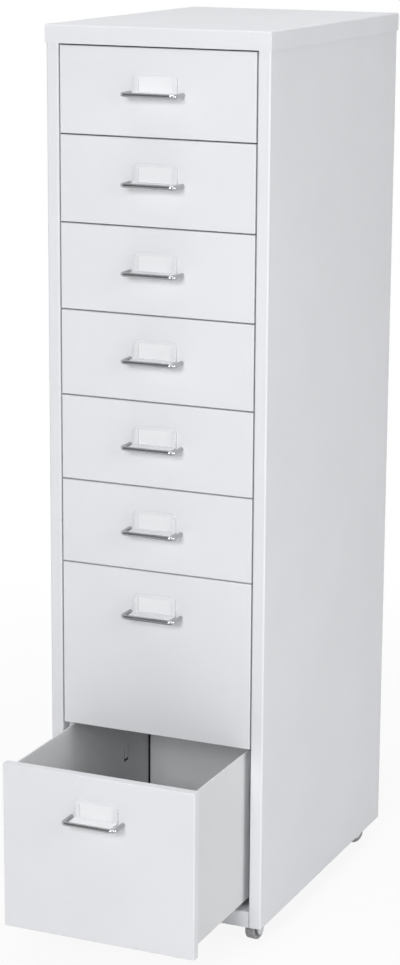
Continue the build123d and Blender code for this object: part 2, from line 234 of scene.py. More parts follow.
def new_finish(name, **constants):
    """Material with a principled shader whose constants sit on its own sockets."""
    material = bpy.data.materials.new(name)
    material.use_nodes = True
    tree = material.node_tree
    shader = tree.nodes["Principled BSDF"]
    for socket, value in constants.items():
        shader.inputs[socket.replace("_", " ")].default_value = value
    place = add(tree, "ShaderNodeTexCoord").outputs["Object"]
    return material, tree, shader, place


def feed(tree, shader, **outputs):
    """Links what varies a finish to the shader's sockets."""
    for socket, output in outputs.items():
        tree.links.new(output, shader.inputs[socket.replace("_", " ")])


def stretched(tree, place, scale):
    """Object coordinates drawn out along an axis."""
    return add(tree, "ShaderNodeMapping", {"Vector": place, "Scale": scale}).outputs["Vector"]


def noise(tree, place, waves, detail=2.0, roughness=0.5):
    """Even noise at so many waves a metre."""
    return add(tree, "ShaderNodeTexNoise", {
        "Vector": place, "Scale": waves, "Detail": detail, "Roughness": roughness}).outputs["Fac"]


def spread(tree, value, low, high, from_low=0.3, from_high=0.7):
    """A number, such as noise, brought between two values."""
    return add(tree, "ShaderNodeMapRange", {
        "Value": value, "From Min": from_low, "From Max": from_high,
        "To Min": low, "To Max": high}).outputs["Result"]


def tint(tree, value, colour, dark, light, from_low=0.3, from_high=0.7):
    """Noise turned into a run from a darker to a lighter share of a colour."""
    ramp = add(tree, "ShaderNodeValToRGB", {"Fac": value})
    first, last = ramp.color_ramp.elements
    first.position, first.color = from_low, shade(colour, dark)
    last.position, last.color = from_high, shade(colour, light)
    return ramp.outputs["Color"]


def mixed(tree, factor, first, second):
    """Two colours mixed by a factor."""
    inputs = {MIX_FACTOR: factor, MIX_FIRST: first, MIX_SECOND: second}
    return add(tree, "ShaderNodeMix", inputs, data_type="RGBA").outputs[MIX_RESULT]


def bump(tree, height, strength, distance):
    """Fine relief for the surface."""
    return add(tree, "ShaderNodeBump", {
        "Height": height, "Strength": strength, "Distance": distance}).outputs["Normal"]


# Finishes


def orange_peel(tree, place):
    """Fine relief of a powder coat."""
    peel = noise(tree, place, PEEL_WAVES, roughness=0.45)
    return bump(tree, peel, strength=0.10, distance=PEEL_DEPTH)


def powder_coat(name, colour, roughness):
    """Satin powder coat: a fine orange peel with slow changes of tone and gloss."""
    material, tree, shader, place = new_finish(name, Specular_IOR_Level=COAT_SPECULAR)
    cloud = noise(tree, place, waves=7.0, detail=3.0)
    patch = noise(tree, place, waves=55.0, detail=3.0)
    feed(
        tree, shader,
        Base_Color=tint(tree, cloud, colour, dark=0.985, light=1.012),
        Roughness=spread(tree, patch, low=roughness - 0.05, high=roughness + 0.06),
        Normal=orange_peel(tree, place))
    return material


def rubbed_coat(name, colour, roughness):
    """Powder coat that sliding has polished in long faint streaks."""
    material, tree, shader, place = new_finish(name, Specular_IOR_Level=COAT_SPECULAR)
    along = stretched(tree, place, (1.0, 0.03, 1.0))
    streak = noise(tree, along, waves=900.0, detail=4.0, roughness=0.6)
    feed(
        tree, shader,
        Base_Color=tint(
            tree, streak, colour, dark=0.93, light=1.01, from_low=0.25, from_high=0.55),
        Roughness=spread(tree, streak, low=roughness - 0.16, high=roughness + 0.06),
        Normal=orange_peel(tree, place))
    return material


def bright_plating(name, colour):
    """Chrome with the slight waviness and haze of plated wire."""
    material, tree, shader, place = new_finish(name, Metallic=1.0)
    haze = noise(tree, place, waves=420.0, detail=3.0, roughness=0.6)
    wave = noise(tree, place, waves=160.0, detail=1.0)
    feed(
        tree, shader,
        Base_Color=tint(tree, haze, colour, dark=0.94, light=1.03),
        Roughness=spread(tree, haze, low=0.05, high=0.11),
        Normal=bump(tree, wave, strength=0.06, distance=0.1 * MM))
    return material


def milky_plastic(name, colour):
    """Milky moulded plastic with flow haze and handling scuffs, and a painted shade round its rim.
    """
    material, tree, shader, place = new_finish(name, Transmission_Weight=0.05, IOR=1.49)
    flow = noise(tree, stretched(tree, place, (1.0, 1.0, 0.25)), waves=260.0, detail=3.0)
    scuff = noise(tree, place, waves=1500.0, detail=4.0, roughness=0.7)
    # rim: the holder's side-facing faces, which get a painted shade
    rim = add(tree, "ShaderNodeAttribute", attribute_name="rim").outputs["Fac"]
    face = tint(tree, flow, colour, dark=0.985, light=1.01)
    # edge is the plastic darkened to 0.70-0.78, a painted shade for the rim
    edge = tint(tree, flow, colour, dark=0.70, light=0.78)
    feed(
        tree, shader,
        Base_Color=mixed(tree, rim, face, edge),
        Roughness=spread(tree, scuff, low=0.20, high=0.36),
        Normal=bump(tree, flow, strength=0.05, distance=0.1 * MM))
    return material


def paper_card(name, colour):
    """Smooth white card with paper fibre."""
    material, tree, shader, place = new_finish(name, Roughness=0.82, Specular_IOR_Level=0.25)
    along = stretched(tree, place, (1.0, 1.0, 0.3))
    fibre = noise(tree, along, waves=1900.0, detail=4.0, roughness=0.65)
    feed(
        tree, shader,
        Base_Color=tint(tree, fibre, colour, dark=0.98, light=1.02),
        Normal=bump(tree, fibre, strength=0.12, distance=0.04 * MM))
    return material


def zinc_plating(name, colour):
    """Zinc-plated steel, cloudy and a little scratched."""
    material, tree, shader, place = new_finish(name, Metallic=0.85)
    cloud = noise(tree, place, waves=240.0, detail=4.0, roughness=0.6)
    along = stretched(tree, place, (1.0, 1.0, 0.08))
    scratch = noise(tree, along, waves=2400.0, detail=3.0, roughness=0.7)
    feed(
        tree, shader,
        Base_Color=tint(tree, cloud, colour, dark=0.86, light=1.1),
        Roughness=spread(tree, scratch, low=0.30, high=0.48),
        Normal=bump(tree, scratch, strength=0.05, distance=0.03 * MM))
    return material


def wheel_plastic(name, colour):
    """Grey moulded plastic, dusty where the tread meets the floor."""
    material, tree, shader, place = new_finish(name, Specular_IOR_Level=0.4)
    tread = add(tree, "ShaderNodeAttribute", attribute_name="tread").outputs["Fac"]
    speck = noise(tree, place, waves=700.0, detail=4.0, roughness=0.65)
    clean = tint(tree, speck, colour, dark=0.93, light=1.06)
    dusty = tint(tree, speck, colour, dark=1.0, light=1.35)
    feed(
        tree, shader,
        Base_Color=mixed(tree, tread, clean, dusty),
        Roughness=spread(tree, speck, low=0.42, high=0.62),
        Normal=bump(tree, speck, strength=0.12, distance=0.05 * MM))
    return material


FINISHES = {}


def mix_finishes():
    """Makes each finish once, from the colours in the panel."""
    if FINISHES:
        return FINISHES
    finish = bpy.context.scene.cabinet_finish
    paint, box_paint, gloss = finish.paint[:], finish.box_paint[:], finish.paint_roughness
    FINISHES.update({
        "white_paint": powder_coat("satin white powder coat", paint, gloss),
        "drawer_paint": powder_coat("drawer box powder coat", box_paint, gloss),
        "runner_steel": rubbed_coat("rubbed runner coat", box_paint, gloss),
        "handle_chrome": bright_plating("bright plated wire", finish.chrome[:]),
        "label_plastic": milky_plastic("milky holder plastic", finish.plastic[:]),
        "card": paper_card("blank paper card", finish.card[:]),
        "caster_steel": zinc_plating("zinc plate", finish.zinc[:]),
        "wheel_grey": wheel_plastic("grey wheel plastic", finish.wheel[:]),
    })
    return FINISHES


# Meshes


def stand(name, data):
    """New object in the scene."""
    thing = bpy.data.objects.new(name, data)
    bpy.context.scene.collection.objects.link(thing)
    return thing


def place_piece(name, mesh, body, slot, finish=None, node=None):
    """Makes an object of a finished mesh, coats it with its finish or else its slot's, ties it to
    its body and hides its node.
    """
    piece = stand(name, mesh)
    mesh.materials.clear()
    mesh.materials.append(mix_finishes()[finish or slot])
    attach(piece, body)
    if node:
        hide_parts(node)


def plain_mesh(bm, name):
    """Turns a bmesh into a mesh."""
    mesh = bpy.data.meshes.new(name)
    bm.to_mesh(mesh)
    bm.free()
    return mesh


def smooth(mesh, fold):
    """Shades rounds smooth and leaves steeper folds sharp."""
    mesh.shade_smooth()
    mesh.set_sharp_from_angle(angle=fold)
    return mesh


def settle(draft, name):
    """Bakes a draft's modifiers into a plain mesh and clears the draft away."""
    bpy.context.view_layer.update()
    evaluated = draft.evaluated_get(bpy.context.evaluated_depsgraph_get())
    mesh = bpy.data.meshes.new_from_object(evaluated)
    draft.modifiers.clear()
    scrap = draft.data
    bpy.data.objects.remove(draft)
    bpy.data.meshes.remove(scrap)
    mesh.name = name
    return mesh


def node_copy(node):
    """Joined copy of a node's loose triangles, with flat faces made whole again."""
    bm = bmesh.new()
    bm.from_mesh(frame["nodes"][node].data)
    bmesh.ops.remove_doubles(bm, verts=bm.verts, dist=JOINED)
    bmesh.ops.dissolve_limit(bm, angle_limit=FLAT_FOLD, verts=bm.verts, edges=bm.edges)
    return bm


def rounded(bm, name, width, segments=2):
    """Rounds the sharp edges of a copy and evens the shading of its flats."""
    draft_name = name + "_draft"
    draft = stand(draft_name, smooth(plain_mesh(bm, draft_name), SHEET_FOLD))
    if width > 0.0:
        bevel = draft.modifiers.new("Rounded edges", "BEVEL")
        bevel.width = width
        bevel.segments = segments
        bevel.limit_method = "ANGLE"
        bevel.angle_limit = ROUNDED_FOLD
        bevel.miter_outer = "MITER_ARC"
    even = draft.modifiers.new("Even flats", "WEIGHTED_NORMAL")
    even.keep_sharp = True
    return settle(draft, name)


def lathe(bm, section, centre, axis, steps, closed=False):
    """Turns a section of (along, radius) pairs about an axis, and returns its vertices by ring."""
    axis = Vector(axis).normalized()
    side = axis.orthogonal().normalized()
    other = axis.cross(side)
    turns = [2.0 * math.pi * step / steps for step in range(steps)]
    spokes = [math.cos(turn) * side + math.sin(turn) * other for turn in turns]
    rings = []
    for along, radius in section:
        spot = Vector(centre) + axis * along
        spots = [spot] if radius < POLE else [spot + radius * spoke for spoke in spokes]
        rings.append([bm.verts.new(corner) for corner in spots])
    pairs = list(zip(rings, rings[1:])) + ([(rings[-1], rings[0])] if closed else [])
    faces = []
    for first, second in pairs:
        for step in range(steps):
            after = (step + 1) % steps
            corners = [
                first[step % len(first)], first[after % len(first)],
                second[after % len(second)], second[step % len(second)],
            ]
            faces.append(bm.faces.new(list(dict.fromkeys(corners))))
    bmesh.ops.recalc_face_normals(bm, faces=faces)
    return rings


def dress_nodes(nodes, slot, width, segments=2):
    """Stands a rounded copy in for each node."""
    for node in nodes:
        name = node + "_dressed"
        mesh = rounded(node_copy(node), name, width, segments)
        place_piece(name, mesh, frame["nodes"][node]["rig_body"], slot, node=node)


def pull_place(number, wire):
    """Half spacing, middle of the bar, face of the front, end of the studs and height of a pull."""
    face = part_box(f"drawer_{number}_front")[0].y
    low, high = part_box(f"drawer_{number}_handle")
    half = (high.x - low.x - wire) / 2.0
    return half, low.y + wire / 2.0, face, high.y, (low.z + high.z) / 2.0


def frame_joint(name):
    """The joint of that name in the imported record."""
    return next(joint for joint in frame["joints"] if joint["name"] == name)


# Geometry node trees


def node_tree(name, sizes):
    """Empty tree with a mesh in, named sizes, a material and a mesh out, and its inputs."""
    tree = bpy.data.node_groups.new(name, "GeometryNodeTree")
    tree.interface.new_socket("Geometry", in_out="INPUT", socket_type="NodeSocketGeometry")
    for size in sizes:
        socket = tree.interface.new_socket(size, in_out="INPUT", socket_type="NodeSocketFloat")
        socket.subtype = "DISTANCE"
    tree.interface.new_socket("Finish", in_out="INPUT", socket_type="NodeSocketMaterial")
    tree.interface.new_socket("Geometry", in_out="OUTPUT", socket_type="NodeSocketGeometry")
    return tree, tree.nodes.new("NodeGroupInput").outputs


def end_tree(tree, geometry, finish):
    """Realizes what a tree made and gives it its finish."""
    real = add(tree, "GeometryNodeRealizeInstances", {"Geometry": geometry}).outputs[0]
    coated = add(tree, "GeometryNodeSetMaterial", {"Geometry": real, "Material": finish})
    add(tree, "NodeGroupOutput", {"Geometry": coated.outputs[0]})
    return tree


def vector(tree, x=0.0, y=0.0, z=0.0):
    """Three numbers of a tree as one vector."""
    return add(tree, "ShaderNodeCombineXYZ", {0: x, 1: y, 2: z}).outputs[0]


def lifted(tree, geometry, height):
    """A mesh of a tree, moved up."""
    return add(tree, "GeometryNodeTransform", {
        "Geometry": geometry, "Translation": vector(tree, z=height)}).outputs[0]


def wire_tree():
    """Wire that follows the edges of a mesh, with bends of one radius."""
    tree, sizes = node_tree("Bent wire", ("Wire", "Bend"))
    path = add(tree, "GeometryNodeMeshToCurve", {"Mesh": sizes["Geometry"]}).outputs[0]
    bent = add(tree, "GeometryNodeFilletCurve", {
        "Curve": path, "Count": WIRE_BEND_STEPS, "Radius": sizes["Bend"]}, mode="POLY")
    section = add(tree, "GeometryNodeCurvePrimitiveCircle", {
        "Resolution": WIRE_SIDES, "Radius": calc(tree, sizes["Wire"], 0.5)})
    wire = add(tree, "GeometryNodeCurveToMesh", {
        "Curve": bent.outputs[0], "Profile Curve": section.outputs[0], "Fill Caps": True})
    return end_tree(tree, wire.outputs[0], sizes["Finish"])


def domed_head(tree, width, height, sides):
    """Low dome on a flat foot, as a rivet or screw head: a cone swelled out to an ellipse."""
    cone = add(tree, "GeometryNodeMeshCone", {
        "Vertices": sides, "Side Segments": DOME_STEPS, "Radius Top": 0.0,
        "Radius Bottom": calc(tree, width, 0.5), "Depth": height})
    spot = add(tree, "GeometryNodeInputPosition").outputs[0]
    x, y, z = add(tree, "ShaderNodeSeparateXYZ", {0: spot}).outputs
    level = calc(tree, z, height, "DIVIDE")
    above = calc(tree, 1.0, level, "ADD")
    below = calc(tree, calc(tree, 1.0, level, "SUBTRACT"), DOME_TOP_SHARE, "MAXIMUM")
    swell = calc(tree, calc(tree, above, below, "DIVIDE"), 0.5, "POWER")
    bulged = vector(tree, calc(tree, x, swell), calc(tree, y, swell), z)
    return add(tree, "GeometryNodeSetPosition", {
        "Geometry": cone.outputs["Mesh"], "Position": bulged}).outputs[0]


def seat_heads(tree, points, head):
    """Copies a head to each point, along the point's own axis."""
    axis = add(tree, "GeometryNodeInputNamedAttribute", {"Name": "axis"}, data_type="FLOAT_VECTOR")
    turn = add(tree, "FunctionNodeAlignRotationToVector", {"Vector": axis.outputs[0]}, axis="Z")
    return add(tree, "GeometryNodeInstanceOnPoints", {
        "Points": points, "Instance": head, "Rotation": turn.outputs[0]}).outputs[0]


def rivet_tree():
    """Rows of domed rivet heads."""
    tree, sizes = node_tree("Rivet heads", ("Head", "Height"))
    head = domed_head(tree, sizes["Head"], sizes["Height"], RIVET_SIDES)
    return end_tree(tree, seat_heads(tree, sizes["Geometry"], head), sizes["Finish"])


def screw_tree():
    """Rows of pan heads with a cross recess."""
    tree, sizes = node_tree("Cross-recess screws", ("Head", "Height", "Slot"))
    slot, height = sizes["Slot"], sizes["Height"]
    head = domed_head(tree, sizes["Head"], height, SCREW_SIDES)
    arm = calc(tree, sizes["Head"], RECESS_SHARE)
    cut = add(
        tree, "GeometryNodeMeshBoolean", {"Mesh 1": head}, operation="DIFFERENCE", solver="EXACT")
    for across, along in ((arm, slot), (slot, arm)):
        size = vector(tree, across, along, height)
        block = add(tree, "GeometryNodeMeshCube", {"Size": size}).outputs["Mesh"]
        cutter = lifted(tree, block, calc(tree, height, RECESS_LEVEL_SHARE))
        tree.links.new(cutter, cut.inputs["Mesh 2"])
    return end_tree(tree, seat_heads(tree, sizes["Geometry"], cut.outputs[0]), sizes["Finish"])


def nut_tree():
    """Rows of hexagon nuts on round washers."""
    tree, sizes = node_tree("Nuts on washers", ("Flats", "Height", "Washer", "Sheet"))
    flats, sheet = sizes["Flats"], sizes["Sheet"]
    washer = add(tree, "GeometryNodeMeshCylinder", {
        "Vertices": WASHER_SIDES, "Radius": calc(tree, sizes["Washer"], 0.5), "Depth": sheet})
    body = calc(tree, sizes["Height"], NUT_BODY_SHARE)
    hexagon = add(tree, "GeometryNodeMeshCylinder", {
        "Vertices": 6, "Radius": calc(tree, flats, 1.0 / math.sqrt(3.0)), "Depth": body})
    crown = add(tree, "GeometryNodeMeshCone", {
        "Vertices": WASHER_SIDES, "Radius Bottom": calc(tree, flats, 0.5),
        "Radius Top": calc(tree, flats, NUT_TOP_SHARE),
        "Depth": calc(tree, sizes["Height"], 1.0 - NUT_BODY_SHARE)})
    levels = (
        (washer, calc(tree, sheet, 0.5)),
        (hexagon, calc(tree, sheet, calc(tree, body, 0.5), "ADD")),
        (crown, calc(tree, sheet, body, "ADD")),
    )
    joined = add(tree, "GeometryNodeJoinGeometry")
    for piece, level in levels:
        tree.links.new(lifted(tree, piece.outputs["Mesh"], level), joined.inputs[0])
    return end_tree(tree, seat_heads(tree, sizes["Geometry"], joined.outputs[0]), sizes["Finish"])


def grow(tree, host, name, **values):
    """Runs a tree on a host mesh and returns the plain mesh that it made."""
    draft = stand(name + "_draft", host)
    modifier = draft.modifiers.new(tree.name, "NODES")
    modifier.node_group = tree
    for socket in tree.interface.items_tree:
        if socket.in_out == "INPUT" and socket.name in values:
            modifier[socket.identifier] = values[socket.name]
    return smooth(settle(draft, name), FASTENER_FOLD)


def seats(spots):
    """Host mesh of loose points, each with the axis of what sits there."""
    host = bpy.data.meshes.new("seats")
    host.from_pydata([spot for spot, _ in spots], [], [])
    axes = host.attributes.new("axis", "FLOAT_VECTOR", "POINT")
    for item, (_, axis) in zip(axes.data, spots):
        item.vector = axis
    return host


# Operators


class CabinetOperator:
    """What every step of the cabinet shares."""

    bl_options = {"REGISTER", "UNDO"}


class CABINET_OT_carcass(CabinetOperator, bpy.types.Operator):
    """Dress the folded panels of the carcass in satin white"""

    bl_idname = "cabinet.carcass"
    bl_label = "Carcass panels"

    def execute(self, context):
        edge = context.scene.cabinet_sizes.sheet_edge
        panels = ["side_panel_left", "side_panel_right", "back_panel", "top_cap", "base_panel"]
        strips = ["stop_strip_left", "stop_strip_right"]
        dress_nodes(panels + strips, "white_paint", edge)
        return {"FINISHED"}


class CABINET_OT_runners(CabinetOperator, bpy.types.Operator):
    """Dress the runner channels in a coat that sliding has rubbed"""

    bl_idname = "cabinet.runners"
    bl_label = "Runners"

    def execute(self, context):
        edge = context.scene.cabinet_sizes.sheet_edge
        dress_nodes(["runners_left", "runners_right"], "runner_steel", edge)
        return {"FINISHED"}


class CABINET_OT_fronts(CabinetOperator, bpy.types.Operator):
    """Dress the drawer fronts with soft folds"""

    bl_idname = "cabinet.fronts"
    bl_label = "Drawer fronts"

    def execute(self, context):
        edge = context.scene.cabinet_sizes.sheet_edge
        dress_nodes([f"drawer_{number}_front" for number in DRAWERS], "white_paint", edge)
        return {"FINISHED"}


class CABINET_OT_boxes(CabinetOperator, bpy.types.Operator):
    """Dress the drawer boxes with rounded hems and folds"""

    bl_idname = "cabinet.boxes"
    bl_label = "Drawer boxes"

    def execute(self, context):
        edge = context.scene.cabinet_sizes.sheet_edge
        dress_nodes([f"drawer_{number}_box" for number in DRAWERS], "drawer_paint", edge)
        return {"FINISHED"}


class CABINET_OT_pulls(CabinetOperator, bpy.types.Operator):
    """Bend a round wire pull for each drawer and seat its feet on the front"""

    bl_idname = "cabinet.pulls"
    bl_label = "Wire pulls"

    STUD_POINT = 0.4 * MM
    STUD_SIDES = 24

    def execute(self, context):
        sizes = context.scene.cabinet_sizes
        chrome = mix_finishes()["handle_chrome"]
        tree = wire_tree()
        for number in DRAWERS:
            name = f"drawer_{number}_wire_pull"
            half, bar, face, stud_end, height = pull_place(number, sizes.wire)
            foot = face - sizes.foot_edge
            route = [(-half, foot), (-half, bar), (half, bar), (half, foot)]
            host = bpy.data.meshes.new("pull path")
            host.from_pydata([(x, y, height) for x, y in route], [(0, 1), (1, 2), (2, 3)], [])
            mesh = grow(tree, host, name, Wire=sizes.wire, Bend=sizes.bend, Finish=chrome)
            bm = bmesh.new()
            bm.from_mesh(mesh)
            for x in (-half, half):
                self.turn_foot(bm, sizes, (x, face, height), stud_end - face)
            bm.to_mesh(mesh)
            bm.free()
            smooth(mesh, WIRE_FOLD)
            body = f"drawer_{number}"
            place_piece(name, mesh, body, "handle_chrome", node=f"drawer_{number}_handle")
        return {"FINISHED"}

    def turn_foot(self, bm, sizes, centre, length):
        """Bevelled end of the wire against the front, and the stud behind it."""
        wire, edge = sizes.wire / 2.0, sizes.foot_edge
        foot = [(0.0, 0.0), (0.0, wire - edge), (edge, wire), (edge, 0.0)]
        lathe(bm, foot, centre, (0.0, -1.0, 0.0), WIRE_SIDES)
        stud, point = sizes.stud / 2.0, self.STUD_POINT
        tip = [(length - point, stud), (length, stud - point), (length, 0.0)]
        lathe(bm, [(0.0, 0.0), (0.0, stud), *tip], centre, (0.0, 1.0, 0.0), self.STUD_SIDES)


class CABINET_OT_holders(CabinetOperator, bpy.types.Operator):
    """Mould the card holders and slip a blank card into each"""

    bl_idname = "cabinet.holders"
    bl_label = "Card holders"

    EDGE = 0.35 * MM
    EDGE_STEPS = 3
    PAINTED_SHADE_FACING = 0.3  # faces turned further to a side than this belong to the rim, which gets a painted shade
    CARD_SIDE_GAP = 1.8 * MM  # side of the holder to the card
    CARD_FOOT_GAP = 1.6 * MM
    CARD_TOP_GAP = 4.0 * MM
    CARD_BACK_GAP = 1.08 * MM
    CARD_COLUMNS = 16
    CARD_ROWS = 4
    CARD_BOW = 0.12 * MM
    CARD_FOOT_BOW_SHARE = 0.4  # of the bow at its top

    def execute(self, context):
        for number in DRAWERS:
            node = f"drawer_{number}_label_holder"
            name = node + "_moulded"
            mesh = rounded(node_copy(node), name, self.EDGE, self.EDGE_STEPS)
            self.mark_painted_shade_rim(mesh)
            place_piece(name, mesh, f"drawer_{number}", "label_plastic", node=node)
            self.slip_card(number, context.scene.cabinet_sizes.card_sheet)
        return {"FINISHED"}

    def mark_painted_shade_rim(self, mesh):
        """Marks the rounded rim of a holder, where its plastic gets a painted shade."""
        # the rim attribute picks out the faces that get the painted shade
        rim = mesh.attributes.new("rim", "FLOAT", "FACE")
        for face, mark in zip(mesh.polygons, rim.data):
            mark.value = 1.0 if abs(face.normal.x) > self.PAINTED_SHADE_FACING else 0.0

    def slip_card(self, number, sheet):
        """Blank card, bowed a little between the rails of its holder."""
        low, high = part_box(f"drawer_{number}_label_holder")
        half = (high.x - low.x) / 2.0 - self.CARD_SIDE_GAP
        foot, top = low.z + self.CARD_FOOT_GAP, high.z - self.CARD_TOP_GAP
        back = high.y - self.CARD_BACK_GAP
        grid = []
        for row in range(self.CARD_ROWS + 1):
            level = row / self.CARD_ROWS
            share = self.CARD_FOOT_BOW_SHARE + (1.0 - self.CARD_FOOT_BOW_SHARE) * level
            line = []
            for column in range(self.CARD_COLUMNS + 1):
                across = 2.0 * column / self.CARD_COLUMNS - 1.0
                bow = self.CARD_BOW * (1.0 - across * across) * share
                line.append((across * half, back - bow, foot + (top - foot) * level))
            grid.append(line)
        bm = bmesh.new()
        rims = []
        for depth in (0.0, sheet):
            skin = [[bm.verts.new((x, y - depth, z)) for x, y, z in line] for line in grid]
            for below, above in zip(skin, skin[1:]):
                for column in range(self.CARD_COLUMNS):
                    after = column + 1
                    bm.faces.new([below[column], below[after], above[after], above[column]])
            right = [line[-1] for line in skin[1:]]
            left = [line[0] for line in reversed(skin[1:-1])]
            rims.append(skin[0] + right + skin[-1][-2::-1] + left)
        first, second = rims
        for step in range(len(first)):
            bm.faces.new([first[step - 1], first[step], second[step], second[step - 1]])
        bmesh.ops.recalc_face_normals(bm, faces=bm.faces)
        name = f"drawer_{number}_card"
        mesh = smooth(plain_mesh(bm, name), SHEET_FOLD)
        place_piece(name, mesh, f"drawer_{number}", "label_plastic", finish="card")


class CABINET_OT_casters(CabinetOperator, bpy.types.Operator):
    """Turn the wheels and axles and dress the forks and sockets of the casters"""

    bl_idname = "cabinet.casters"
    bl_label = "Casters"

    SOCKET_EDGE = 0.25 * MM
    FORK_EDGE = 0.6 * MM
    FORK_EDGE_STEPS = 3
    WHEEL_HALF_WIDTH = 6.0 * MM
    WHEEL_SIDES = 64
    # Section of a wheel in millimetres: in from its side, and then out from the middle for the hub
    # or in from the tread for the rim
    HUB_SECTION = ((0.0, 2.55), (0.0, 4.3), (0.3, 4.6), (1.7, 5.0), (2.0, 5.4))
    RIM_SECTION = (
        (2.0, 4.6), (1.7, 4.2), (0.3, 3.8), (0.0, 3.5), (0.0, 0.6),
        (0.15, 0.25), (0.5, 0.05), (1.0, 0.0), (4.8, 0.0))
    DUST_FADE = 1.2 * MM  # depth over which the dust on a tread fades
    DUST_REACH_SHARE = 0.2  # of that depth, where the tread is all dust
    AXLE_HALF_LENGTH = 9.0 * MM
    AXLE_RADIUS = 2.5 * MM
    AXLE_HEAD_RADIUS = 4.0 * MM
    AXLE_HEAD_HEIGHT = 1.0 * MM
    AXLE_HEAD_STEPS = 4
    AXLE_SIDES = 32

    def execute(self, context):
        dress_nodes(["caster_sockets"], "caster_steel", self.SOCKET_EDGE)
        for caster in CASTERS:
            fork = f"caster_{caster}_fork"
            dress_nodes([fork], "caster_steel", self.FORK_EDGE, self.FORK_EDGE_STEPS)
            roll = frame_joint(f"caster_{caster}_roll")
            self.turn_wheel(caster, roll["pos_m"], roll["axis"])
            self.turn_axle(caster, roll["pos_m"], roll["axis"])
        return {"FINISHED"}

    def turn_wheel(self, caster, centre, axis):
        """Wheel with a crowned tread, dished sides and a hub."""
        rim = centre[2]
        half = self.WHEEL_HALF_WIDTH
        side = [(half - inset * MM, radius * MM) for inset, radius in self.HUB_SECTION]
        side += [(half - inset * MM, rim - depth * MM) for inset, depth in self.RIM_SECTION]
        section = side + [(-along, radius) for along, radius in reversed(side)]
        bm = bmesh.new()
        tread = bm.verts.layers.float.new("tread")
        rings = lathe(bm, section, centre, axis, self.WHEEL_SIDES, closed=True)
        for ring, (_, radius) in zip(rings, section):
            dust = 1.0 + self.DUST_REACH_SHARE - (rim - radius) / self.DUST_FADE
            for vertex in ring:
                vertex[tread] = min(1.0, max(0.0, dust))
        name = f"caster_{caster}_turned_wheel"
        mesh = smooth(plain_mesh(bm, name), SHEET_FOLD)
        body = f"caster_{caster}_roller"
        place_piece(name, mesh, body, "wheel_grey", node=f"caster_{caster}_wheel")

    def turn_axle(self, caster, centre, axis):
        """Riveted axle with domed heads outside the fork legs."""
        end = self.AXLE_HALF_LENGTH
        dome = []
        for step in range(self.AXLE_HEAD_STEPS + 1):
            turn = math.pi / 2.0 * step / self.AXLE_HEAD_STEPS
            along = end + self.AXLE_HEAD_HEIGHT * math.sin(turn)
            dome.append((along, self.AXLE_HEAD_RADIUS * math.cos(turn)))
        shank = [(-end, self.AXLE_RADIUS), (end, self.AXLE_RADIUS)]
        section = [(-along, radius) for along, radius in reversed(dome)] + shank + dome
        bm = bmesh.new()
        lathe(bm, section, centre, axis, self.AXLE_SIDES)
        name = f"caster_{caster}_turned_axle"
        mesh = smooth(plain_mesh(bm, name), SHEET_FOLD)
        body = f"caster_{caster}_swivel"
        place_piece(name, mesh, body, "caster_steel", node=f"caster_{caster}_axle")


